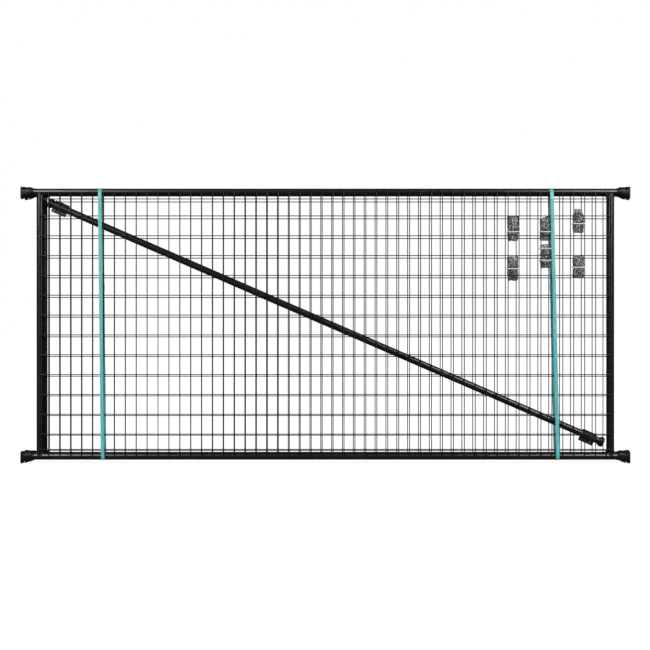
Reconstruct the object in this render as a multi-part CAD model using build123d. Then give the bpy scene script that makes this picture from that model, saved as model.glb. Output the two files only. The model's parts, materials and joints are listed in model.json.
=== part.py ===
"""Livestock panel gate, as supplied: two wire-filled gate panels stacked face to back,
a diagonal brace between their meshes, six bags of fittings and two plastic straps.

Axes: X along the rails, Y through the stack (front face at -Y), Z up. Millimetres.
Origin: middle of the pack's footprint, on the plane that the end cups stand on.
"""
import os
from math import atan2, degrees, radians, tan

from build123d import *

os.makedirs("parts", exist_ok=True)

# ---- driving dimensions ---------------------------------------------------------------
TUBE_R = 16.7                # outside radius of the frame and brace tube (33.4 mm pipe)
TUBE_WALL = 1.6
OVERALL_LENGTH = 2956.0      # over the end cups of one panel
RAIL_SPACING = 1284.0        # between the centre lines of the top and bottom rails
UPRIGHT_SPACING = 2773.0     # between the centre lines of the two uprights

WIRE_R = 2.2                 # mesh wire
VERTICAL_COUNT = 52
VERTICAL_PITCH = 53.0
CROSS_COUNT = 12             # evenly pitched rows, not counting the two edge rows
CROSS_PITCH = 96.0
EDGE_ROW = 606.0             # edge rows, above and below the panel's centre
WIRE_END_GAP = 3.0           # wires stop this far short of the tube centre lines
WIRE_LAYER_GAP = 0.05        # between the two layers of wire

WELD_GAP = 0.03              # the weld fillets stand off the tubes by a hair
STACK_PITCH = 47.2           # between the centre planes of the two panels
BACK_SHIFT = 8.0             # the back panel lies this far to the right of the front one

CUP_LENGTH = 64.0            # end cup on a rail
CUP_FLANGE = 8.0
CUP_TOP = 25.5               # reach above the rail's centre line
CUP_BOTTOM = 34.0            # reach below it
CUP_HALF_DEPTH = 20.0        # half of the flange's size through the stack
CUP_WALL = 1.6
CUP_BORE = 30.0              # depth of the rail in its cup
CUP_HOLE_R = 4.5             # two cross holes past the rail's end, one high and one low
CUP_HOLE_INSET = 16.5
CUP_HOLE_UP = 14.0
CUP_HOLE_DOWN = 26.0

BRACE_ANGLE = 23.44          # below the horizontal, falling to the right
BRACE_LENGTH = 2940.0
BRACE_OFFSET_X = 3.0
BRACE_OFFSET_Z = 8.0
BRACE_CUP_LENGTH = 28.0
BRACE_CUP_REACH = 25.0       # half height of the rim, in the plane of the panel
BRACE_CUP_HALF_DEPTH = 18.4

CLAMP_LENGTH = 74.0
CLAMP_WALL = 1.9
CLAMP_FIT = 0.05             # radial running clearance on the tube
CLAMP_SPLIT = 0.75           # half of the gap between the two halves
EAR_THICKNESS = 2.4
UPPER_EAR = 24.5             # reach of the short ear from the tube's axis
LOWER_EAR = 36.0             # reach of the long, bolted ear
UPPER_CLAMP_INSET = 66.0     # clamp middle from the brace's upper end
LOWER_CLAMP_INSET = 82.0     # clamp middle from the brace's lower end
CLAMP_BOLT_R = 4.0
CLAMP_BOLT_SPAN = 40.0

STRAP_WIDTH = 17.0
STRAP_THICKNESS = 0.9
STRAP_CLEARANCE = 0.8
# middle of the loop along X, its lean in degrees, and how far its back run lies to the right
LEFT_STRAP = (-1092.5, 0.63, -7.0)
RIGHT_STRAP = (1109.5, 1.3, 5.0)
SEAL_HEIGHT = 180.0          # of the seal, above the middle of the pack
SEAL_LENGTH = 32.0
SEAL_THICKNESS = 1.1

BAG_WIDTH = 50.0
BAG_DEPTH = 30.0
BAG_WALL = 0.6
TIE_HEIGHT = 6.0
TIE_THICKNESS = 0.9
TIE_GAP = 0.4
# name, mesh cell counted from the left, middle and height of the bag, heights of its ties
BAGS = (
    ("bag_1", 42, 464.0, 122.0, (448.0,)),
    ("bag_2", 45, 471.0, 132.0, (448.0,)),
    ("bag_3", 48, 502.0, 118.0, (487.0,)),
    ("bag_4", 42, 271.0, 122.0, (269.0,)),
    ("bag_5", 45, 331.0, 118.0, (367.0, 310.0)),
    ("bag_6", 48, 281.0, 114.0, (276.0,)),
)

# ---- derived positions ----------------------------------------------------------------
VERTICAL_Y = -(TUBE_R + WIRE_R)
CROSS_Y = VERTICAL_Y - 2 * WIRE_R - WIRE_LAYER_GAP
MESH_FRONT = CROSS_Y - WIRE_R
CENTRE_Z = CUP_BOTTOM + RAIL_SPACING / 2
STRAP_OUT = STRAP_CLEARANCE + STRAP_THICKNESS
FRONT_REACH = -MESH_FRONT + STRAP_OUT
BACK_REACH = max(CUP_HALF_DEPTH, TUBE_R + STRAP_OUT + SEAL_THICKNESS)
FRONT_Y = (FRONT_REACH - BACK_REACH - STACK_PITCH) / 2
BACK_Y = FRONT_Y + STACK_PITCH
POCKET_FRONT = FRONT_Y - TUBE_R
POCKET_BACK = BACK_Y + MESH_FRONT
POCKET_Y = (POCKET_FRONT + POCKET_BACK) / 2

# name: panel position along X, along Y, and how far its mesh sits off the frame's centre
PANELS = {
    "front": (-BACK_SHIFT / 2, FRONT_Y, 10.9, 0.0),
    "back": (BACK_SHIFT / 2, BACK_Y, -3.7, -10.0),
}
BRACE_FRAME = (
    Pos(PANELS["front"][0] + BRACE_OFFSET_X, POCKET_Y, CENTRE_Z + BRACE_OFFSET_Z) * Rot(0, BRACE_ANGLE, 0)
)


def rod_x(radius, length):
    """Solid cylinder along X, centred on the origin."""
    return Rot(0, 90, 0) * Cylinder(radius, length)


def rod_y(radius, length):
    """Solid cylinder along Y, centred on the origin."""
    return Rot(90, 0, 0) * Cylinder(radius, length)


def save(name, shape):
    """Write one sub-part."""
    export_step(shape, f"parts/{name}.step")


def group(solids):
    """Several separate solids as one sub-part."""
    return Compound(children=list(solids))


# ---- frame ----------------------------------------------------------------------------
def rail():
    """Hollow rail, centred on the origin, ending at the bottom of the bores of its cups."""
    length = OVERALL_LENGTH - 2 * (CUP_LENGTH - CUP_BORE) - 1.0
    return rod_x(TUBE_R, length) - rod_x(TUBE_R - TUBE_WALL, length + 2)


def upright():
    """Hollow upright, centred on the origin, coped at both ends to sit on the rails."""
    length = RAIL_SPACING - 10.0
    tube = Cylinder(TUBE_R, length) - Cylinder(TUBE_R - TUBE_WALL, length + 2)
    for side in (-1, 1):
        tube -= Pos(0, 0, side * RAIL_SPACING / 2) * rod_x(TUBE_R, 6 * TUBE_R)
    return tube


def weld_fillets():
    """Four weld fillets, one where each upright end meets a rail."""
    leg = 8.0
    beads = []
    for side in (-1, 1):
        for end in (-1, 1):
            cone = Cone(TUBE_R + leg, TUBE_R, 2 * leg)
            bead = cone - Cylinder(TUBE_R + WELD_GAP, 6 * leg)
            bead -= Pos(0, 0, -TUBE_R - leg / 2) * rod_x(TUBE_R + WELD_GAP, 4 * TUBE_R)
            bead &= Pos(0, 0, leg / 4) * Box(4 * TUBE_R, 1.5 * TUBE_R, 1.5 * leg)
            turn = Rot(180, 0, 0) if end > 0 else Rot(0, 0, 0)
            height = end * (RAIL_SPACING / 2 - TUBE_R - leg / 2)
            place = Pos(side * UPRIGHT_SPACING / 2, 0, height) * turn
            beads += [place * piece for piece in bead.solids()]
    return group(beads)


def mesh_wires(shift_x, shift_z):
    """The two layers of a welded mesh: upright wires on the tubes, cross wires in front."""
    first = shift_x - VERTICAL_PITCH * (VERTICAL_COUNT - 1) / 2
    height = RAIL_SPACING - 2 * WIRE_END_GAP
    verticals = [
        Pos(first + VERTICAL_PITCH * i, VERTICAL_Y, shift_z) * Cylinder(WIRE_R, height)
        for i in range(VERTICAL_COUNT)
    ]
    rows = [EDGE_ROW, -EDGE_ROW]
    rows += [CROSS_PITCH * (i - (CROSS_COUNT - 1) / 2) - 4.0 for i in range(CROSS_COUNT)]
    width = UPRIGHT_SPACING - 2 * WIRE_END_GAP
    crosses = [Pos(0, CROSS_Y, shift_z + row) * rod_x(WIRE_R, width) for row in rows]
    return group(verticals), group(crosses)


def flared_body(sections):
    """Loft along X through ellipses, each (x, half depth, reach up, reach down)."""
    faces = []
    for x, half_depth, up, down in sections:
        ellipse = Plane.YZ.offset(x) * Pos(0, (up - down) / 2) * Ellipse(half_depth, (up + down) / 2)
        faces.append(ellipse)
    return loft(faces)


def rail_cup():
    """End cup for the right-hand end of a rail: outer face at x = 0, rail coming from -X.
    A sleeve on the rail flares to a flat end flange and is cross-drilled twice."""
    sleeve_r = TUBE_R + CUP_WALL
    deep = CUP_HALF_DEPTH - 1.0
    body = flared_body((
        (-CUP_LENGTH, sleeve_r, sleeve_r, sleeve_r),
        (-CUP_LENGTH + 5.0, sleeve_r, sleeve_r + 0.4, sleeve_r + 0.2),
        (-CUP_LENGTH + 16.0, deep, CUP_TOP - 2.0, sleeve_r + 3.0),
        (-CUP_LENGTH + 29.0, deep, CUP_TOP - 1.6, CUP_BOTTOM - 6.5),
        (-CUP_LENGTH + 42.0, deep, CUP_TOP - 1.4, CUP_BOTTOM - 2.6),
        (-CUP_FLANGE, deep, CUP_TOP - 1.2, CUP_BOTTOM - 2.0),
    ))
    flange_plane = Plane.YZ.offset(-CUP_FLANGE)
    outline = Pos(0, (CUP_TOP - CUP_BOTTOM) / 2) * RectangleRounded(
        2 * CUP_HALF_DEPTH, CUP_TOP + CUP_BOTTOM, 13.0)
    flange = extrude(flange_plane * outline, CUP_FLANGE)
    flange = fillet(flange.faces().sort_by(Axis.X)[-1].edges(), 1.5)
    cup = body + flange
    cup -= Pos(-CUP_LENGTH + CUP_BORE / 2, 0, 0) * rod_x(TUBE_R + CLAMP_FIT, CUP_BORE)
    for height in (CUP_HOLE_UP, -CUP_HOLE_DOWN):
        cup -= Pos(-CUP_HOLE_INSET, 0, height) * rod_y(CUP_HOLE_R, 4 * CUP_HALF_DEPTH)
    return cup


def build_panel(name):
    """All sub-parts of one panel."""
    shift_x, shift_y, mesh_x, mesh_z = PANELS[name]
    place = Pos(shift_x, shift_y, CENTRE_Z)
    half_rail = RAIL_SPACING / 2
    half_upright = UPRIGHT_SPACING / 2
    save(f"{name}_top_rail", place * Pos(0, 0, half_rail) * rail())
    save(f"{name}_bottom_rail", place * Pos(0, 0, -half_rail) * rail())
    save(f"{name}_left_upright", place * Pos(-half_upright, 0, 0) * upright())
    save(f"{name}_right_upright", place * Pos(half_upright, 0, 0) * upright())
    save(f"{name}_welds", place * weld_fillets())
    verticals, crosses = mesh_wires(mesh_x, mesh_z)
    save(f"{name}_vertical_wires", place * verticals)
    save(f"{name}_cross_wires", place * crosses)
    right = rail_cup()
    left = mirror(right, Plane.YZ)
    for level, height in (("top", half_rail), ("bottom", -half_rail)):
        end = OVERALL_LENGTH / 2
        save(f"{name}_{level}_right_cup", place * Pos(end, 0, height) * right)
        save(f"{name}_{level}_left_cup", place * Pos(-end, 0, height) * left)


# ---- brace ----------------------------------------------------------------------------
def brace_cup():
    """Flared foot for the +X end of the brace: outer face at x = 0, tube coming from -X."""
    sleeve_r = TUBE_R + CUP_WALL
    rim_x = -15.0
    body = flared_body((
        (-BRACE_CUP_LENGTH, sleeve_r, sleeve_r, sleeve_r),
        (-25.0, sleeve_r, sleeve_r + 0.6, sleeve_r + 0.6),
        (-20.0, BRACE_CUP_HALF_DEPTH, BRACE_CUP_REACH - 2.0, BRACE_CUP_REACH - 2.0),
        (rim_x, BRACE_CUP_HALF_DEPTH, BRACE_CUP_REACH - 0.6, BRACE_CUP_REACH - 0.6),
    ))
    rim = extrude(Plane.YZ.offset(rim_x) * Ellipse(BRACE_CUP_HALF_DEPTH + 0.2, BRACE_CUP_REACH), 2.5)
    pad = extrude(Plane.YZ.offset(rim_x) * Ellipse(BRACE_CUP_HALF_DEPTH - 0.6, BRACE_CUP_REACH - 1.4), -rim_x)
    pad = fillet(pad.faces().sort_by(Axis.X)[-1].edges(), 7.0)
    cup = body + rim + pad
    bore_length = BRACE_CUP_LENGTH + rim_x
    return cup - Pos(rim_x - bore_length / 2, 0, 0) * rod_x(TUBE_R + CLAMP_FIT, bore_length)


def clamp_half(side):
    """One half of a clamp round the brace, axis along X. side is -1 for the front half."""
    inner = TUBE_R + CLAMP_FIT
    outer = inner + CLAMP_WALL
    ring = rod_x(outer, CLAMP_LENGTH) - rod_x(inner, CLAMP_LENGTH + 2)
    ring &= Pos(0, side * (CLAMP_SPLIT + 20.0), 0) * Box(2 * CLAMP_LENGTH, 40.0, 60.0)
    ear_y = side * (CLAMP_SPLIT + EAR_THICKNESS / 2)
    half = ring
    for reach, direction in ((UPPER_EAR, 1), (LOWER_EAR, -1)):
        height = reach - inner
        ear = Box(CLAMP_LENGTH, EAR_THICKNESS, height)
        outer_edges = ear.edges().filter_by(Axis.Y).group_by(Axis.Z)[-1 if direction > 0 else 0]
        ear = fillet(outer_edges, 5.0)
        half += Pos(0, ear_y, direction * (inner + height / 2)) * ear
    half -= rod_x(inner, CLAMP_LENGTH + 2)
    for x in (-CLAMP_BOLT_SPAN / 2, CLAMP_BOLT_SPAN / 2):
        half -= Pos(x, 0, -bolt_drop()) * rod_y(CLAMP_BOLT_R + 0.2, 40.0)
    return half


def bolt_drop():
    """Depth of the clamp bolts below the brace's axis."""
    return (TUBE_R + LOWER_EAR) / 2 + 1.0


def carriage_bolt(radius, length):
    """Round-headed bolt: head at the -Y end, under-head face at y = 0, shank along +Y."""
    shank = Pos(0, length / 2, 0) * rod_y(radius, length)
    head = Pos(0, 0, 0) * Sphere(2.1 * radius) & Pos(0, -2 * radius, 0) * Box(
        8 * radius, 4 * radius, 8 * radius)
    head = scale(head, (1, 0.5, 1))
    return shank + head


def hex_nut(radius, height):
    """Hexagon nut on a Y axis, lying from y = 0 to y = height."""
    blank = extrude(Plane.XZ * RegularPolygon(1.9 * radius, 6), -height)
    return blank - Pos(0, height / 2, 0) * rod_y(radius + 0.03, height + 2)


def build_clamp(name, x):
    """A two-piece clamp with its bolts and nuts, at x along the brace."""
    place = BRACE_FRAME * Pos(x, 0, 0)
    save(f"{name}_front_half", place * clamp_half(-1))
    save(f"{name}_back_half", place * clamp_half(1))
    face = CLAMP_SPLIT + EAR_THICKNESS
    spots = [Pos(dx, 0, -bolt_drop()) for dx in (-CLAMP_BOLT_SPAN / 2, CLAMP_BOLT_SPAN / 2)]
    bolts = [place * spot * Pos(0, -face, 0) * carriage_bolt(CLAMP_BOLT_R, 17.0) for spot in spots]
    nuts = [place * spot * Pos(0, face, 0) * hex_nut(CLAMP_BOLT_R, 6.0) for spot in spots]
    save(f"{name}_bolts", group(bolts))
    save(f"{name}_nuts", group(nuts))


def build_brace():
    """Brace tube, its two flared feet and its two clamps."""
    half = BRACE_LENGTH / 2
    length = BRACE_LENGTH - 2 * 15.5
    tube = rod_x(TUBE_R, length) - rod_x(TUBE_R - TUBE_WALL, length + 2)
    save("brace_tube", BRACE_FRAME * tube)
    foot = brace_cup()
    save("brace_lower_foot", BRACE_FRAME * Pos(half, 0, 0) * foot)
    save("brace_upper_foot", BRACE_FRAME * Pos(-half, 0, 0) * mirror(foot, Plane.YZ))
    build_clamp("upper_clamp", -half + UPPER_CLAMP_INSET)
    build_clamp("lower_clamp", half - LOWER_CLAMP_INSET)


# ---- straps ---------------------------------------------------------------------------
def strap_outline(clear):
    """Taut outline round the rails and the front mesh, in the YZ plane, grown by clear."""
    edges = []
    for y in (FRONT_Y, BACK_Y):
        for side in (-1, 1):
            edges += (Pos(y, side * RAIL_SPACING / 2) * Circle(TUBE_R + clear)).edges()
    for side in (-1, 1):
        edges += (Pos(FRONT_Y + CROSS_Y, side * EDGE_ROW) * Circle(WIRE_R + clear)).edges()
        wire_end = side * (RAIL_SPACING / 2 - WIRE_END_GAP)
        edges += (Pos(FRONT_Y + VERTICAL_Y, wire_end) * Circle(WIRE_R + clear)).edges()
    return make_hull(edges)


def build_strap(name, middle, lean, back_shift):
    """One plastic strap loop and the seal that joins its ends, on the back run.
    The loop hugs the rails squarely, and its edges run askew, as lean and back_shift say."""
    front = FRONT_Y + MESH_FRONT - STRAP_OUT
    back = BACK_Y + TUBE_R + STRAP_OUT
    skew = degrees(atan2(-back_shift, back - front))
    band = strap_outline(STRAP_OUT) - strap_outline(STRAP_CLEARANCE)
    tunnel = Pos(middle - 4 * STRAP_WIDTH, 0, CENTRE_Z) * extrude(Plane.YZ * band, 8 * STRAP_WIDTH)
    slab = Box(STRAP_WIDTH, 4 * (back - front), 2 * RAIL_SPACING)
    save(name, tunnel & (Pos(middle, 0, CENTRE_Z) * Rot(0, -lean, skew) * slab))
    seal = Box(STRAP_WIDTH + 1.6, SEAL_THICKNESS, SEAL_LENGTH)
    seal = fillet(seal.edges().filter_by(Axis.Z), 0.4)
    seal_x = middle - SEAL_HEIGHT * tan(radians(lean)) - back * tan(radians(skew))
    place = Pos(seal_x, back + SEAL_THICKNESS / 2, CENTRE_Z + SEAL_HEIGHT) * Rot(0, -lean, 0)
    save(f"{name}_seal", place * seal)


# ---- bags of fittings -----------------------------------------------------------------
def pouch(height):
    """Closed thin-walled bag, a pillow with rounded edges, centred on the origin."""
    outer = fillet(Box(BAG_WIDTH, BAG_DEPTH, height).edges(), 8.0)
    inner = Box(BAG_WIDTH - 2 * BAG_WALL, BAG_DEPTH - 2 * BAG_WALL, height - 2 * BAG_WALL)
    return outer - fillet(inner.edges(), 8.0 - BAG_WALL)


def fittings(height):
    """Contents of a bag: three bolts side by side, their nuts and a drilled clamp plate."""
    pieces = []
    low = -height / 2 + 14.0
    for x in (-14.0, 0.0, 14.0):
        bolt = Pos(x, -5.0, low) * Rot(90, 0, 0) * carriage_bolt(3.0, 58.0)
        pieces.append(bolt)
        pieces.append(Pos(x, -5.0, low + 70.0) * Rot(90, 0, 0) * hex_nut(3.4, 5.5))
    plate = Box(34.0, 3.0, height - 36.0)
    plate = fillet(plate.edges().filter_by(Axis.Y), 6.0)
    for end in (-1, 1):
        plate -= Pos(0, 0, end * (height / 2 - 28.0)) * rod_y(4.2, 10.0)
    pieces.append(Pos(0, 6.5, 0) * plate)
    return group(pieces)


def tie():
    """Band round the bag and the two mesh wires beside it, centred on the front frame."""
    half_width = VERTICAL_PITCH / 2 + WIRE_R + TIE_GAP
    front = VERTICAL_Y - WIRE_R - TIE_GAP
    back = POCKET_Y - FRONT_Y + BAG_DEPTH / 2 + TIE_GAP
    inner = Rectangle(2 * half_width, back - front)
    outer = RectangleRounded(2 * (half_width + TIE_THICKNESS), back - front + 2 * TIE_THICKNESS, 3.0)
    ring = Pos(0, (front + back) / 2, -TIE_HEIGHT / 2) * extrude(outer - inner, TIE_HEIGHT)
    return ring


def build_bags():
    """Bags, their contents and the ties that hold them to the front mesh."""
    panel_x, panel_y, mesh_x, _ = PANELS["front"]
    for name, cell, middle, height, tie_heights in BAGS:
        x = panel_x + mesh_x + VERTICAL_PITCH * (cell + 0.5 - (VERTICAL_COUNT - 1) / 2)
        place = Pos(x, POCKET_Y, CENTRE_Z + middle)
        save(name, place * pouch(height))
        save(f"{name}_fittings", place * fittings(height))
        rings = [Pos(x, panel_y, CENTRE_Z + z) * tie() for z in tie_heights]
        save(f"{name}_tie", group(rings))


for panel in PANELS:
    build_panel(panel)
build_brace()
build_strap("left_strap", *LEFT_STRAP)
build_strap("right_strap", *RIGHT_STRAP)
build_bags()
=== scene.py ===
"""Looks of the livestock panel gate pack: two wire-filled panels, a brace, bags and straps.

Everything is in metres, in the frame of the CAD: X along the rails, -Y to the front, Z up.
"""
import json
import math
import random

import bpy
import numpy as np
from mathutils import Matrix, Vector, noise


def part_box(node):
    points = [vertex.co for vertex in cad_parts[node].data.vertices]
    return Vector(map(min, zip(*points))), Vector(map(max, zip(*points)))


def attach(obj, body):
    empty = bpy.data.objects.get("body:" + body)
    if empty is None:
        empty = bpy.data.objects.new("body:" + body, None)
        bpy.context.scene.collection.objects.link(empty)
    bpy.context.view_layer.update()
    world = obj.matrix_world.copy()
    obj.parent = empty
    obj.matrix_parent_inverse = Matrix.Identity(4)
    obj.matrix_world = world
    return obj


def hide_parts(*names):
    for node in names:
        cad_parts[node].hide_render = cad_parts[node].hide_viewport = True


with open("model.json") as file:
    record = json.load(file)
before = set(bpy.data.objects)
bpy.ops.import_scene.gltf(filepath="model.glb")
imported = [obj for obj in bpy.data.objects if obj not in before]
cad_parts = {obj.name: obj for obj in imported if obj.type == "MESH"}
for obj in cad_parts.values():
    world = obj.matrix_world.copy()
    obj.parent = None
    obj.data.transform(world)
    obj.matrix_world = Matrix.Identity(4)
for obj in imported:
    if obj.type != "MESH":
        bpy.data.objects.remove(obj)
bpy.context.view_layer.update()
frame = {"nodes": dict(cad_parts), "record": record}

MM = 0.001
PANELS = ("front", "back")
BAG_COUNT = 6

# ---- sizes read from the frame -----------------------------------------------------------


def centre(node):
    """Middle of a CAD node's box."""
    low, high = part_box(node)
    return (low + high) / 2


def size(node):
    """Size of a CAD node's box."""
    low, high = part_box(node)
    return high - low


def clusters(node, axis, gap=10 * MM):
    """Middles of the separate runs of a CAD node's corners along one axis."""
    values = sorted({round(v.co[axis], 5) for v in frame["nodes"][node].data.vertices})
    runs = [[values[0]]]
    for value in values[1:]:
        if value - runs[-1][-1] > gap:
            runs.append([])
        runs[-1].append(value)
    return [(run[0] + run[-1]) / 2 for run in runs]


TUBE_R = size("front_left_upright").x / 2


# ---- materials ---------------------------------------------------------------------------


class Material:
    """A node material with a Principled shader, in object coordinates."""

    def __init__(self, name):
        self.data = bpy.data.materials.new(name)
        self.data.use_nodes = True
        self.nodes = self.data.node_tree.nodes
        self.links = self.data.node_tree.links
        self.shader = self.nodes["Principled BSDF"]
        self.place = self.nodes.new("ShaderNodeTexCoord").outputs["Object"]

    def set(self, **values):
        """Plain values on the shader's own sockets, by name with _ for a space."""
        for name, value in values.items():
            self.shader.inputs[name.replace("_", " ")].default_value = value

    def link(self, output, socket):
        self.links.new(output, self.shader.inputs[socket])

    def stretched(self, scale):
        """Object coordinates scaled along each axis."""
        node = self.nodes.new("ShaderNodeMapping")
        node.inputs["Scale"].default_value = scale
        self.links.new(self.place, node.inputs["Vector"])
        return node.outputs["Vector"]

    def noise(self, scale, detail=4.0, roughness=0.55, place=None, warp=0.0):
        node = self.nodes.new("ShaderNodeTexNoise")
        node.inputs["Distortion"].default_value = warp
        node.inputs["Scale"].default_value = scale
        node.inputs["Detail"].default_value = detail
        node.inputs["Roughness"].default_value = roughness
        self.links.new(place or self.place, node.inputs["Vector"])
        return node.outputs["Fac"]

    def ramp(self, factor, low, high, low_value=(0, 0, 0), high_value=(1, 1, 1)):
        """Colour that goes from low_value to high_value as factor goes from low to high."""
        node = self.nodes.new("ShaderNodeValToRGB")
        first, last = node.color_ramp.elements
        first.position, first.color = low, (*low_value, 1)
        last.position, last.color = high, (*high_value, 1)
        self.links.new(factor, node.inputs["Fac"])
        return node.outputs["Color"]

    def ridge(self, factor, middle, half_width):
        """White line where factor passes its middle value, black to both sides."""
        node = self.nodes.new("ShaderNodeValToRGB")
        first, last = node.color_ramp.elements
        first.position, first.color = middle - half_width, (0, 0, 0, 1)
        last.position, last.color = middle + half_width, (0, 0, 0, 1)
        node.color_ramp.elements.new(middle).color = (1, 1, 1, 1)
        self.links.new(factor, node.inputs["Fac"])
        return node.outputs["Color"]

    def mix(self, factor, low, high):
        """Mix of two colours, each an output or three numbers."""
        node = self.nodes.new("ShaderNodeMix")
        node.data_type = "RGBA"
        colours = [socket for socket in node.inputs if socket.type == "RGBA"]
        for socket, value in zip(colours, (low, high)):
            if isinstance(value, tuple):
                socket.default_value = (*value, 1)
            else:
                self.links.new(value, socket)
        self.links.new(factor, node.inputs[0])
        return next(socket for socket in node.outputs if socket.type == "RGBA")

    def span(self, factor, low, high):
        """A number that goes from low to high as factor goes from 0 to 1."""
        node = self.nodes.new("ShaderNodeMapRange")
        node.inputs["To Min"].default_value = low
        node.inputs["To Max"].default_value = high
        self.links.new(factor, node.inputs["Value"])
        return node.outputs["Result"]

    def bump(self, height, strength, distance, under=None):
        node = self.nodes.new("ShaderNodeBump")
        node.inputs["Strength"].default_value = strength
        node.inputs["Distance"].default_value = distance
        self.links.new(height, node.inputs["Height"])
        if under:
            self.links.new(under, node.inputs["Normal"])
        return node.outputs["Normal"]


def powder_coat(name, colour, roughness, peel, dust=0.35, cast=0.0, shine=0.5):
    """Black powder coat: orange peel, uneven gloss, pale dust and a few fine scuffs."""
    coat = Material(name)
    light = tuple(1.6 * value for value in colour)
    patches = coat.ramp(coat.noise(9.0), 0.35, 0.7)
    base = coat.mix(patches, colour, light)
    speck = coat.ramp(coat.noise(420.0, detail=6.0), 0.62, 0.82, high_value=(dust,) * 3)
    base = coat.mix(speck, base, (0.11, 0.11, 0.10))
    scuffs = coat.noise(150.0, detail=2.0, place=coat.stretched((0.06, 1.0, 0.9)))
    scuff = coat.ramp(scuffs, 0.75, 0.78, high_value=(0.4,) * 3)
    base = coat.mix(scuff, base, (0.14, 0.14, 0.13))
    coat.link(base, "Base Color")
    coat.link(coat.span(coat.noise(38.0), roughness - 0.07, roughness + 0.13), "Roughness")
    grain = coat.bump(coat.noise(750.0, detail=2.0), peel, 0.25 * MM)
    if cast:
        grain = coat.bump(coat.noise(190.0, detail=5.0), cast, 0.9 * MM, grain)
    coat.link(grain, "Normal")
    coat.set(Specular_IOR_Level=shine)
    return coat.data


def zinc(name, colour, roughness):
    """Dark plated steel with faint turning marks and dull patches."""
    metal = Material(name)
    dull = metal.ramp(metal.noise(120.0, detail=5.0), 0.40, 0.72)
    metal.link(metal.mix(dull, colour, tuple(0.5 * value for value in colour)), "Base Color")
    metal.link(metal.span(metal.noise(60.0), roughness - 0.08, roughness + 0.16), "Roughness")
    marks = metal.noise(900.0, detail=2.0, place=metal.stretched((1.0, 1.0, 0.15)))
    metal.link(metal.bump(marks, 0.25, 0.1 * MM), "Normal")
    metal.set(Metallic=0.85)
    return metal.data


def strap_plastic(name, colour):
    """Dyed polyester strap, paler where it is scuffed and lightly streaked along its length."""
    band = Material(name)
    streak = band.noise(420.0, detail=3.0, place=band.stretched((1.0, 1.0, 0.03)))
    deep = tuple(0.72 * value for value in colour)
    base = band.mix(band.ramp(streak, 0.36, 0.62), deep, colour)
    worn = band.ramp(band.noise(30.0, detail=6.0), 0.58, 0.78, high_value=(0.5,) * 3)
    base = band.mix(worn, base, tuple(min(1.0, 1.5 * value + 0.06) for value in colour))
    band.link(base, "Base Color")
    band.link(band.span(band.noise(90.0), 0.30, 0.52), "Roughness")
    band.link(band.bump(band.noise(1500.0, detail=2.0), 0.2, 0.1 * MM), "Normal")
    band.set(Specular_IOR_Level=0.5)
    return band.data


def film(name):
    """Crushed smoky film: painted highlights as pale lines along its fine creases, dark and partly
    clear between them.
    """
    skin = Material(name)
    tall = skin.stretched((1.0, 1.0, 0.55))
    fold = skin.noise(80.0, detail=5.0, roughness=0.65, place=tall, warp=0.8)
    fine = skin.noise(62.0, detail=1.5, place=tall, warp=0.9)
    # painted highlight: pale lines along the fine creases where the coarse fold is high, standing in
    # for softbox glints on the crinkles
    line = skin.ridge(fine, 0.50, 0.045)
    line = skin.mix(skin.ramp(fold, 0.42, 0.58), (0.04, 0.04, 0.04), line)
    smoke = skin.ramp(fold, 0.36, 0.70, (0.008, 0.010, 0.013), (0.085, 0.09, 0.095))
    skin.link(skin.mix(line, smoke, (0.72, 0.73, 0.74)), "Base Color")
    skin.link(skin.span(skin.noise(120.0, detail=3.0), 0.62, 1.0), "Alpha")
    skin.link(skin.span(skin.noise(70.0), 0.14, 0.34), "Roughness")
    under = skin.bump(fold, 0.7, 3.0 * MM)
    skin.link(skin.bump(fine, 0.6, 1.0 * MM, under), "Normal")
    skin.set(Specular_IOR_Level=0.5)
    return skin.data


def tape(name):
    """White polythene tape with a fine cross rib and a little grime."""
    band = Material(name)
    grime = band.ramp(band.noise(160.0, detail=5.0), 0.5, 0.8, high_value=(0.5,) * 3)
    band.link(band.mix(grime, (0.56, 0.57, 0.56), (0.34, 0.34, 0.32)), "Base Color")
    band.link(band.span(band.noise(60.0), 0.32, 0.5), "Roughness")
    ribs = band.noise(1300.0, detail=1.0, place=band.stretched((1.0, 1.0, 0.05)))
    band.link(band.bump(ribs, 0.4, 0.15 * MM), "Normal")
    return band.data


MATERIALS = {
    "frame_tube": powder_coat("black_powder_coat", (0.0045, 0.0052, 0.0072), 0.27, 0.10),
    "weld": powder_coat("coated_weld", (0.0050, 0.0055, 0.0070), 0.32, 0.2, shine=0.35),
    "mesh_wire": powder_coat("coated_wire", (0.0045, 0.0050, 0.0060), 0.40, 0.1, shine=0.3),
    "end_cup": powder_coat(
        "coated_casting", (0.0038, 0.0042, 0.0054), 0.42, 0.1, dust=0.2, cast=0.2, shine=0.16
    ),
    "brace_tube": powder_coat("coated_brace", (0.0045, 0.0050, 0.0068), 0.30, 0.10, shine=0.4),
    "brace_foot": powder_coat(
        "coated_foot", (0.0042, 0.0046, 0.0056), 0.38, 0.1, dust=0.2, cast=0.2, shine=0.16
    ),
    "clamp_plate": powder_coat(
        "coated_clamp", (0.0075, 0.0080, 0.0074), 0.42, 0.2, cast=0.2, shine=0.2
    ),
    "clamp_hardware": zinc("black_zinc", (0.07, 0.07, 0.075), 0.36),
    "strap": strap_plastic("teal_strap", (0.092, 0.430, 0.430)),
    "strap_seal": strap_plastic("teal_seal", (0.078, 0.360, 0.360)),
    "bag_film": film("crinkled_film"),
    "bagged_fittings": zinc("bagged_zinc", (0.085, 0.087, 0.095), 0.38),
    "bag_tie": tape("white_tape"),
}


# ---- mesh helpers ------------------------------------------------------------------------


def add_object(name, data):
    """A new object in the scene."""
    thing = bpy.data.objects.new(name, data)
    bpy.context.scene.collection.objects.link(thing)
    return thing


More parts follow.
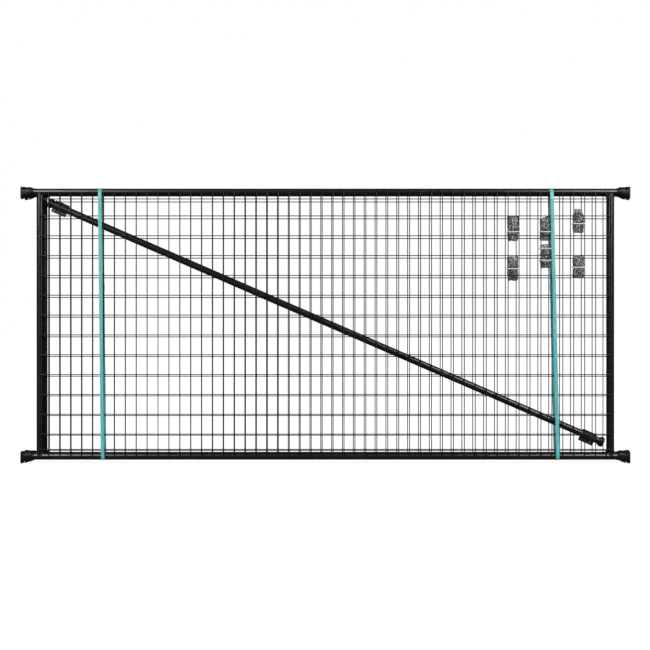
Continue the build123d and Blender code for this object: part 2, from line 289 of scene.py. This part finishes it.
class Shape:
    """Points and faces collected for one piece."""

    def __init__(self):
        self.points = []
        self.faces = []

    def add(self, points, faces):
        start = len(self.points)
        self.points += [tuple(point) for point in points]
        self.faces += [tuple(start + corner for corner in face) for face in faces]

    def piece(self, name, body, slot, replaced=()):
        mesh = bpy.data.meshes.new(name)
        mesh.from_pydata(self.points, [], self.faces)
        mesh.update()
        return dress(mesh, name, body, slot, replaced)


def dress(mesh, name, body, slot, replaced=()):
    """An object with its material, on its body and in place of its CAD nodes."""
    mesh.polygons.foreach_set("use_smooth", [True] * len(mesh.polygons))
    mesh.materials.clear()
    mesh.materials.append(MATERIALS[slot])
    piece = add_object(name, mesh)
    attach(piece, body)
    if replaced:
        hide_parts(*replaced)
    return piece


def blob(middle, radii, segments=8, rings=5):
    """Closed ellipsoid."""
    points = [(middle[0], middle[1], middle[2] + radii[2])]
    for ring in range(1, rings):
        polar = math.pi * ring / rings
        for segment in range(segments):
            turn = 2 * math.pi * segment / segments
            points.append((
                middle[0] + radii[0] * math.sin(polar) * math.cos(turn),
                middle[1] + radii[1] * math.sin(polar) * math.sin(turn),
                middle[2] + radii[2] * math.cos(polar),
            ))
    points.append((middle[0], middle[1], middle[2] - radii[2]))
    last = len(points) - 1
    faces = []
    for segment in range(segments):
        after = (segment + 1) % segments
        faces.append((0, 1 + segment, 1 + after))
        for ring in range(rings - 2):
            row = 1 + ring * segments
            faces.append((row + segment, row + segments + segment, row + segments + after, row + after))
        row = 1 + (rings - 2) * segments
        faces.append((row + segment, last, row + after))
    return points, faces


def loop_faces(count, around):
    """Quads between neighbouring rings of a closed loop, with around points to each ring."""
    faces = []
    for k in range(count):
        a, b = k * around, (k + 1) % count * around
        for i in range(around):
            after = (i + 1) % around
            faces.append((a + i, b + i, b + after, a + after))
    return faces


def closed_tube(centres, radii, sides=10):
    """Tube along a closed line round a point on the X axis, with its own radius at each point."""
    count = len(centres)
    loop_middle = Vector((centres[0].x + centres[count // 2].x, 0, 0)) / 2
    points = []
    for i, middle in enumerate(centres):
        along = (centres[(i + 1) % count] - centres[i - 1]).normalized()
        outward = Vector((middle.x, middle.y, 0)) - loop_middle
        side = along.cross(outward).normalized()
        out = side.cross(along)
        for k in range(sides):
            turn = 2 * math.pi * k / sides
            points.append(middle + radii[i] * (math.cos(turn) * out + math.sin(turn) * side))
    return points, loop_faces(count, sides)


# ---- frame: welds ------------------------------------------------------------------------

BEAD_STEPS = 220
BEAD_RIPPLES = 46
BEAD_THIN = 1.9       # millimetres of radius at the front and back of the upright
BEAD_GAIN = 3.6       # millimetres more in the corners to the left and right of it
BEAD_RIPPLE = 0.16    # share of the radius
BEAD_UNEVEN = 0.25    # millimetres
BEAD_FLATTEN = 0.03   # keeps the saddle line smooth where it turns back on itself
WELD_LIFT = 0.9 * MM

WIRE_NUGGET = 2.15 * MM    # weld where two wires cross, along X and Z
NUGGET_DEPTH = 2.7 * MM
DAB_START = 1 * MM         # how far a wire end's dab reaches past the end


def saddle_weld(x, rail_z, direction):
    """A rippled weld bead where an upright, coming along direction, meets a rail."""
    centres, radii = [], []
    for i in range(BEAD_STEPS):
        turn = 2 * math.pi * i / BEAD_STEPS
        cos, sin = math.cos(turn), math.sin(turn)
        lift = math.sqrt(cos * cos + BEAD_FLATTEN)
        upright_normal = Vector((cos, sin, 0))
        rail_normal = Vector((0, sin, lift * direction))
        out = (upright_normal + rail_normal).normalized()
        point = Vector((TUBE_R * cos, TUBE_R * sin, TUBE_R * lift * direction))
        wave = (i * BEAD_RIPPLES / BEAD_STEPS) % 1.0
        radius = (BEAD_THIN + BEAD_GAIN * cos * cos) * (1.0 + BEAD_RIPPLE * (0.5 - wave))
        radius += BEAD_UNEVEN * noise.noise(Vector((turn * 3.0, x * 7.0, rail_z * 5.0)))
        centres.append(point + out * WELD_LIFT)
        radii.append(radius * MM)
    points, faces = closed_tube(centres, radii)
    return [point + Vector((x, 0, rail_z)) for point in points], faces


def build_frame_welds(panel):
    """Beads at the four corners of one panel."""
    y = centre(f"{panel}_top_rail").y
    shape = Shape()
    for side in ("left", "right"):
        x = centre(f"{panel}_{side}_upright").x
        for level, direction in (("top", -1), ("bottom", 1)):
            points, faces = saddle_weld(x, centre(f"{panel}_{level}_rail").z, direction)
            shape.add([point + Vector((0, y, 0)) for point in points], faces)
    shape.piece(f"{panel}_corner_welds", f"{panel}_panel", "weld", (f"{panel}_welds",))


def build_mesh_welds(panel):
    """Small fused welds where the wires cross, and dabs where they end on the tubes."""
    rng = random.Random(7)
    uprights = clusters(f"{panel}_vertical_wires", 0)
    rows = clusters(f"{panel}_cross_wires", 2)
    upright_y = centre(f"{panel}_vertical_wires").y
    cross_y = centre(f"{panel}_cross_wires").y
    between_y = (upright_y + cross_y) / 2
    shape = Shape()
    low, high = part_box(f"{panel}_vertical_wires")
    for x in uprights:
        for z in rows:
            squeeze = rng.uniform(0.9, 1.15)
            radii = (WIRE_NUGGET * squeeze, NUGGET_DEPTH, WIRE_NUGGET / squeeze)
            shape.add(*blob((x, between_y, z), radii))
        for end, inward in ((high.z, -1), (low.z, 1)):
            long = rng.uniform(3.6, 5.2) * MM
            spot = (x, upright_y + WELD_LIFT, end + inward * (long - DAB_START))
            shape.add(*blob(spot, (2.5 * MM, 2.1 * MM, long)))
    low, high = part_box(f"{panel}_cross_wires")
    for z in rows:
        for end, inward in ((high.x, -1), (low.x, 1)):
            long = rng.uniform(4.0, 6.0) * MM
            spot = (end + inward * (long - DAB_START), between_y + 0.4 * MM, z)
            shape.add(*blob(spot, (long, 3.4 * MM, 2.6 * MM)))
    shape.piece(f"{panel}_mesh_welds", f"{panel}_panel", "weld")


# ---- straps ------------------------------------------------------------------------------

STRAP_THICK = 0.9 * MM
STRAP_CROWN = 0.22 * MM     # how much lower the edges lie than the middle
STRAP_COLUMNS = 13
EMBOSS_PITCH = 1.6 * MM
EMBOSS_DEPTH = 0.11 * MM
EDGE_DEPTH = 0.12 * MM
SEAL_RIBS = 12
SEAL_RIB_DEPTH = 0.28 * MM
SEAL_EDGE_DEPTH = 0.35 * MM


def hull(points):
    """Convex hull of flat points, anticlockwise."""
    ordered = sorted(set(points))

    def half(sequence):
        kept = []
        for point in sequence:
            while len(kept) > 1:
                (ax, ay), (bx, by) = kept[-2], kept[-1]
                if (bx - ax) * (point[1] - ay) - (by - ay) * (point[0] - ax) > 0:
                    break
                kept.pop()
            kept.append(point)
        return kept[:-1]

    return half(ordered) + half(ordered[::-1])


def walk(outline, step):
    """Evenly spaced points and outward normals round a closed outline."""
    corners = [Vector(point) for point in outline]
    lengths = [(corners[(i + 1) % len(corners)] - corner).length for i, corner in enumerate(corners)]
    total = sum(lengths)
    count = 2 * round(total / step / 2)
    found, start, i = [], 0.0, 0
    for k in range(count):
        distance = total * k / count
        while distance > start + lengths[i]:
            start += lengths[i]
            i += 1
        share = (distance - start) / lengths[i]
        found.append(corners[i].lerp(corners[(i + 1) % len(corners)], share))
    stations = []
    for k, point in enumerate(found):
        along = (found[(k + 1) % count] - found[k - 1]).normalized()
        stations.append((point, Vector((along.y, -along.x))))
    return stations


def build_strap(name):
    """The strap as a crowned band with an embossed grid, on the line of its CAD solid."""
    corners = np.array([v.co for v in frame["nodes"][name].data.vertices])
    flat = np.column_stack([np.ones(len(corners)), corners[:, 1:]])
    base, per_y, per_z = np.linalg.lstsq(flat, corners[:, 0], rcond=None)[0]
    slope = math.sqrt(1 + per_y**2 + per_z**2)
    half = np.abs(corners[:, 0] - flat @ np.array([base, per_y, per_z])).max() / slope
    outline = hull([(round(y, 6), round(z, 6)) for _, y, z in corners])
    stations = walk(outline, EMBOSS_PITCH)
    points = []
    for k, (point, normal) in enumerate(stations):
        ring = []
        for column in range(STRAP_COLUMNS):
            u = 2 * column / (STRAP_COLUMNS - 1) - 1
            emboss = EMBOSS_DEPTH if (k + column) % 2 else 0.0
            emboss = emboss if 0 < column < STRAP_COLUMNS - 1 else EDGE_DEPTH
            ring.append((u, -STRAP_CROWN * u**4 - emboss))
        ring += [(1, -STRAP_THICK), (0, -STRAP_THICK), (-1, -STRAP_THICK)]
        for u, depth in ring:
            y, z = point + normal * depth
            points.append((base + per_y * y + per_z * z + u * half * slope, y, z))
    shape = Shape()
    shape.add(points, loop_faces(len(stations), len(ring)))
    shape.piece(f"{name}_band", name, "strap", (name,))


def build_seal(name):
    """The welded overlap of the strap's ends, a short second layer pressed into cross ribs."""
    low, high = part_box(f"{name}_seal")
    rows, columns = 60, 9
    shape = Shape()
    for face in (1, -1):
        for row in range(rows + 1):
            t = row / rows
            for column in range(columns + 1):
                u = column / columns
                rib = SEAL_RIB_DEPTH * (0.5 + 0.5 * math.cos(t * 2 * math.pi * SEAL_RIBS))
                edge = min(1.0, 6 * u, 6 * (1 - u), 8 * t, 8 * (1 - t))
                y = high.y - (rib + SEAL_EDGE_DEPTH * (1 - edge)) if face > 0 else low.y
                x = low.x + (high.x - low.x) * u
                shape.points.append((x, y, low.z + (high.z - low.z) * t))
    layer = (rows + 1) * (columns + 1)
    width = columns + 1
    for row in range(rows):
        for column in range(columns):
            a = row * width + column
            shape.faces.append((a, a + width, a + width + 1, a + 1))
            b = layer + a
            shape.faces.append((b, b + 1, b + width + 1, b + width))
    rim = list(range(columns))
    rim += [row * width + columns for row in range(rows)]
    rim += [rows * width + column for column in range(columns, 0, -1)]
    rim += [row * width for row in range(rows, 0, -1)]
    for i, a in enumerate(rim):
        b = rim[(i + 1) % len(rim)]
        shape.faces.append((a, b, layer + b, layer + a))
    shape.piece(f"{name}_joint", name, "strap_seal", (f"{name}_seal",))


# ---- bags --------------------------------------------------------------------------------

BAG_BULGE = 3.2 * MM         # how far the film swells past the CAD bag on each side
POUCH_COLUMNS = 38
POUCH_ROW = 1.6 * MM
POUCH_WIDER = 1.24           # flat film against the filled bag, which draws it in
POUCH_TALLER = 1.04
POUCH_GAP = 0.02             # share of the width between the two layers at the start
CLOTH_SCALE = 10
CLOTH_FRAMES = 16
NIP_DEPTH = 0.30             # share of the depth that a tie takes from the bag
NIP_WIDTH = 0.04             # share of the width that it takes
TIE_REACH = 5 * MM           # how far above and below a tie the film is drawn in
CRUSH_DEPTH = 0.9            # millimetres that the film lies inside its box where crumple is 0
CRUSH_CREASE = 1.2           # millimetres more where crumple is 1
TIE_CORNER = 3.2 * MM
TIE_STEP = 1.2 * MM
TIE_HALF_WIDTH = 2.35        # millimetres
FOOT_START = 0.55            # share of the half height, below the middle, where the foot starts


def flat_pouch(width, height, columns, rows, rng):
    """A flat closed pouch: two grids that share their border, a hair apart in the middle."""
    index = {}
    points = []
    for face in (-1, 1):
        for row in range(rows + 1):
            for column in range(columns + 1):
                border = row in (0, rows) or column in (0, columns)
                key = (0 if border else face, row, column)
                if key in index:
                    continue
                index[key] = len(points)
                gap = 0.0 if border else face * POUCH_GAP * width * (1 + 0.6 * rng.random())
                x = (column / columns - 0.5) * width
                z = (row / rows - 0.5) * height
                points.append((x, gap, z))
    faces = []
    for face in (-1, 1):
        for row in range(rows):
            for column in range(columns):
                quad = []
                near = ((row, column), (row, column + 1))
                far = ((row + 1, column + 1), (row + 1, column))
                for r, c in near + far:
                    border = r in (0, rows) or c in (0, columns)
                    quad.append(index[(0 if border else face, r, c)])
                faces.append(tuple(quad if face < 0 else quad[::-1]))
    return points, faces


def inflate(points, faces):
    """The pouch after a cloth simulation with a little air in it, run at a larger scale."""
    mesh = bpy.data.meshes.new("pouch")
    scaled = [tuple(CLOTH_SCALE * value for value in point) for point in points]
    mesh.from_pydata(scaled, [], faces)
    piece = add_object("pouch", mesh)
    cloth = piece.modifiers.new("Cloth", "CLOTH").settings
    cloth.quality = 6
    cloth.mass = 0.25
    cloth.tension_stiffness = 40
    cloth.compression_stiffness = 40
    cloth.shear_stiffness = 20
    cloth.bending_stiffness = 0.05
    cloth.use_pressure = True
    cloth.uniform_pressure_force = 4.0
    cloth.effector_weights.gravity = 0.0
    for number in range(1, CLOTH_FRAMES + 1):
        bpy.context.scene.frame_set(number)
    found = piece.evaluated_get(bpy.context.evaluated_depsgraph_get()).to_mesh()
    moved = [tuple(v.co / CLOTH_SCALE) for v in found.vertices]
    bpy.context.scene.frame_set(1)
    bpy.data.objects.remove(piece)
    bpy.data.meshes.remove(mesh)
    return moved


def crumple(point, seed):
    """Depth of the creases of crushed film at a point, about -1 to 1."""
    shift = Vector((seed * 3.1, seed * 1.7, seed * 2.3))
    coarse = noise.voronoi(Vector((point.x * 85, point.y * 60, point.z * 48)) + shift)[0]
    pleat = noise.noise(Vector((point.x * 260, point.y * 200, point.z * 60)) + shift)
    return (coarse[1] - coarse[0]) * 1.5 - 0.6 + 0.8 * pleat


# How each bag departs from an upright box, all as shares: how much lower its top left corner
# hangs, the width of its neck and the neck's part of the height, and the width of its foot.
BAG_FORMS = {
    1: {"tilt": 0.00, "neck": 1.00, "neck_share": 0.00, "foot": 0.80},
    2: {"tilt": 0.42, "neck": 1.00, "neck_share": 0.00, "foot": 1.00},
    3: {"tilt": 0.00, "neck": 0.70, "neck_share": 0.26, "foot": 0.88},
    4: {"tilt": 0.05, "neck": 0.96, "neck_share": 0.10, "foot": 0.84},
    5: {"tilt": 0.04, "neck": 0.94, "neck_share": 0.08, "foot": 0.92},
    6: {"tilt": 0.06, "neck": 0.88, "neck_share": 0.10, "foot": 0.97},
}


def squared(points, flat):
    """The pouch's points as shares of its width, depth and height, every row and column full."""
    cloud, start = np.array(points), np.array(flat)
    cloud -= (cloud.max(0) + cloud.min(0)) / 2
    shares = np.empty_like(cloud)
    for axis, along in ((0, 2), (2, 0)):
        for value in np.unique(start[:, along].round(7)):
            line = np.abs(start[:, along] - value) < 1e-6
            shares[line, axis] = cloud[line, axis] / np.abs(cloud[line, axis]).max()
    shares[:, 1] = cloud[:, 1] / np.abs(cloud[:, 1]).max()
    return shares


def shape_bag(shares, number, low, high, tie_heights):
    """Fit a swollen pouch to its place, nip it at its ties and crush it."""
    form = BAG_FORMS[number]
    middle, half = (low + high) / 2, (high - low) / 2
    shaped = []
    for u, v, w in shares.tolist():
        v = math.copysign(min(1.0, abs(v)) ** 0.7, v)
        top = max(0.0, (w - (1 - 2 * form["neck_share"])) / max(2 * form["neck_share"], 1e-6))
        neck = 1 - (1 - form["neck"]) * min(1.0, 3 * top)
        foot = 1 - (1 - form["foot"]) * max(0.0, -w - FOOT_START) / (1 - FOOT_START)
        flat = 1 - 0.6 * min(1.0, 2 * top) if form["neck_share"] > 0.2 else 1.0
        z = w - form["tilt"] * (1 - u) / 2 * max(0.0, w)
        spot = Vector((u * neck * foot, v * flat, z))
        place = Vector([middle[i] + spot[i] * half[i] for i in range(3)])
        for tie in tie_heights:
            near = math.exp(-(((place.z - tie) / TIE_REACH) ** 2))
            place.y = middle.y + (place.y - middle.y) * (1 - NIP_DEPTH * near)
            place.x = middle.x + (place.x - middle.x) * (1 - NIP_WIDTH * near)
        inward = Vector((-0.45 * spot.x, -1.6 * spot.y, -0.3 * spot.z))
        place += inward.normalized() * MM * (CRUSH_DEPTH + CRUSH_CREASE * crumple(place, number))
        shaped.append([min(max(place[i], low[i]), high[i]) for i in range(3)])
    return shaped


def build_bag(number):
    """A crushed film pouch round its fittings, in place of the plain CAD pouch."""
    node = f"bag_{number}"
    low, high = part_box(node)
    low.x -= BAG_BULGE
    high.x += BAG_BULGE
    rng = random.Random(number)
    height = high.z - low.z
    width = POUCH_WIDER * (high.x - low.x)
    rows = round(height / POUCH_ROW)
    flat, faces = flat_pouch(width, height * POUCH_TALLER, POUCH_COLUMNS, rows, rng)
    points = inflate(flat, faces)
    ties = clusters(f"{node}_tie", 2)
    shape = Shape()
    shape.add(shape_bag(squared(points, flat), number, low, high, ties), faces)
    shape.piece(f"{node}_film", "front_panel", "bag_film", (node,))


def rounded_loop(low, high, radius, step):
    """Points and outward normals of a rounded rectangle in X and Y."""
    corners = []
    for sx, sy, start in ((1, 1, 0), (-1, 1, 90), (-1, -1, 180), (1, -1, 270)):
        middle = Vector((
            (low.x + high.x) / 2 + sx * ((high.x - low.x) / 2 - radius),
            (low.y + high.y) / 2 + sy * ((high.y - low.y) / 2 - radius),
        ))
        for k in range(9):
            turn = math.radians(start + 90 * k / 8)
            corners.append(middle + radius * Vector((math.cos(turn), math.sin(turn))))
    return walk(corners, step)


def build_ties(number):
    """Soft tape wound round the bag and the wires beside it, a little wavy and not quite level."""
    node = f"bag_{number}_tie"
    low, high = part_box(node)
    shape = Shape()
    for height in clusters(node, 2):
        stations = rounded_loop(low, high, TIE_CORNER, TIE_STEP)
        profile = []
        for u in (-1, -0.6, 0, 0.6, 1):
            profile.append((u, -0.16 * MM * u * u))
        profile += [(1, -0.55 * MM), (0, -0.6 * MM), (-1, -0.55 * MM)]
        points = []
        for point, normal in stations:
            spot = Vector((point.x * 60, point.y * 60, height * 9 + number))
            half = (TIE_HALF_WIDTH + 0.5 * noise.noise(spot * 1.9)) * MM
            middle = height + 0.35 * MM * noise.noise(spot)
            for u, depth in profile:
                crease = 0.12 * MM * (noise.noise(spot * 7.0 + Vector((u, 0, 0))) - 1)
                place = point + normal * (depth + crease)
                points.append((place.x, place.y, middle + u * half))
        shape.add(points, loop_faces(len(stations), len(profile)))
    shape.piece(f"bag_{number}_tape", "front_panel", "bag_tie", (node,))


# ---- carried-over CAD nodes --------------------------------------------------------------


def paint_cad_nodes():
    """Each CAD node takes the material of its slot."""
    for row in frame["record"]["subparts"]:
        piece = frame["nodes"][row["node"]]
        if not piece.material_slots:
            piece.data.materials.append(None)
        for place in piece.material_slots:
            place.material = MATERIALS[row["material_slot"]]


# ---- studio ------------------------------------------------------------------------------

MIRRORED_GLOW = 0.015    # world strength in reflections
DIFFUSE_GLOW = 0.20      # world strength on diffuse surfaces; the camera sees it as 1
FLOOR_REACH = 60.0
FLOOR_GLOW = 0.90
CAMERA_DISTANCE = 5.8    # from the plane of the front rails
CAMERA_FIELD = 3.159     # width of the view in that plane
CAMERA_SHIFT = -5.7 * MM
CAMERA_HEIGHT = 671.9 * MM


def build_world():
    """White for the camera, dim for the light that falls on the pack."""
    world = bpy.data.worlds.new("studio")
    bpy.context.scene.world = world
    world.use_nodes = True
    nodes, links = world.node_tree.nodes, world.node_tree.links
    path = nodes.new("ShaderNodeLightPath")
    soft = nodes.new("ShaderNodeMapRange")
    soft.inputs["To Min"].default_value = MIRRORED_GLOW
    soft.inputs["To Max"].default_value = DIFFUSE_GLOW
    links.new(path.outputs["Is Diffuse Ray"], soft.inputs["Value"])
    seen = nodes.new("ShaderNodeMath")
    seen.operation = "MAXIMUM"
    links.new(soft.outputs["Result"], seen.inputs[0])
    links.new(path.outputs["Is Camera Ray"], seen.inputs[1])
    links.new(seen.outputs[0], nodes["Background"].inputs["Strength"])
    nodes["Background"].inputs["Color"].default_value = (1, 1, 1, 1)


def build_floor():
    """A wide pale floor under the pack, lit from inside like a light table."""
    mesh = bpy.data.meshes.new("floor")
    turns = ((-1, -1), (1, -1), (1, 1), (-1, 1))
    corners = [(FLOOR_REACH * x, FLOOR_REACH * y, 0) for x, y in turns]
    mesh.from_pydata(corners, [], [(0, 1, 2, 3)])
    pale = Material("pale_floor")
    pale.link(pale.mix(pale.noise(3.0), (0.13, 0.13, 0.13), (0.15, 0.15, 0.15)), "Base Color")
    pale.set(Roughness=0.9, Specular_IOR_Level=0.0)
    pale.set(Emission_Color=(1, 1, 1, 1), Emission_Strength=FLOOR_GLOW)
    mesh.materials.append(pale.data)
    floor = add_object("floor", mesh)
    floor.visible_glossy = False


def add_sun(name, strength, azimuth, elevation, spread):
    """Soft parallel light that gives no highlights. Azimuth 0 shines along +Y."""
    light = bpy.data.lights.new(name, "SUN")
    light.energy = strength
    light.angle = math.radians(spread)
    sun = add_object(name, light)
    a, e = math.radians(azimuth), math.radians(elevation)
    source = Vector((math.sin(a) * math.cos(e), -math.cos(a) * math.cos(e), math.sin(e)))
    sun.rotation_euler = source.to_track_quat("Z", "Y").to_euler()
    sun.visible_glossy = False


def add_softbox(name, middle, aim, width, height, radiance):
    """Tall softbox that lights nothing diffusely: it shows only in reflections."""
    light = bpy.data.lights.new(name, "AREA")
    light.shape = "RECTANGLE"
    light.size, light.size_y = width, height
    light.energy = radiance * math.pi * width * height
    box = add_object(name, light)
    box.location = middle
    toward = Vector(aim) - Vector(middle)
    box.rotation_euler = toward.to_track_quat("-Z", "Y").to_euler()
    box.visible_camera = False
    box.visible_diffuse = False


def build_lights():
    """Two soft suns for the even light, and tall softboxes for the streaks on the tubes."""
    add_sun("key", strength=3.0, azimuth=-12, elevation=50, spread=28)
    add_sun("back_fill", strength=1.2, azimuth=160, elevation=42, spread=30)
    for name, side in (("left", -1), ("right", 1)):
        end = (side * 1.4, 0, 1.0)
        wide = (side * 2.65, -2.5, 2.65)
        add_softbox(f"{name}_softbox", wide, end, width=1.2, height=1.9, radiance=17.0)
        edge = (side * 1.85, -2.6, 2.65)
        add_softbox(f"{name}_edge_softbox", edge, end, width=0.5, height=1.9, radiance=5.0)


def build_camera():
    """Level camera straight in front of the pack, for the same view as the photograph."""
    data = bpy.data.cameras.new("camera")
    data.sensor_width = 36.0
    data.lens = data.sensor_width * CAMERA_DISTANCE / CAMERA_FIELD
    front_y = centre("front_top_rail").y
    camera = add_object("camera", data)
    camera.location = (CAMERA_SHIFT, front_y - CAMERA_DISTANCE, CAMERA_HEIGHT)
    camera.rotation_euler = (math.radians(90), 0, 0)
    bpy.context.scene.camera = camera


build_camera()
for panel in PANELS:
    build_frame_welds(panel)
    build_mesh_welds(panel)
for strap in ("left_strap", "right_strap"):
    build_strap(strap)
    build_seal(strap)
for bag in range(1, BAG_COUNT + 1):
    build_bag(bag)
    build_ties(bag)
paint_cad_nodes()
build_world()
build_floor()
build_lights()

settings = bpy.context.scene.view_settings
settings.view_transform = "Standard"
settings.look = "None"
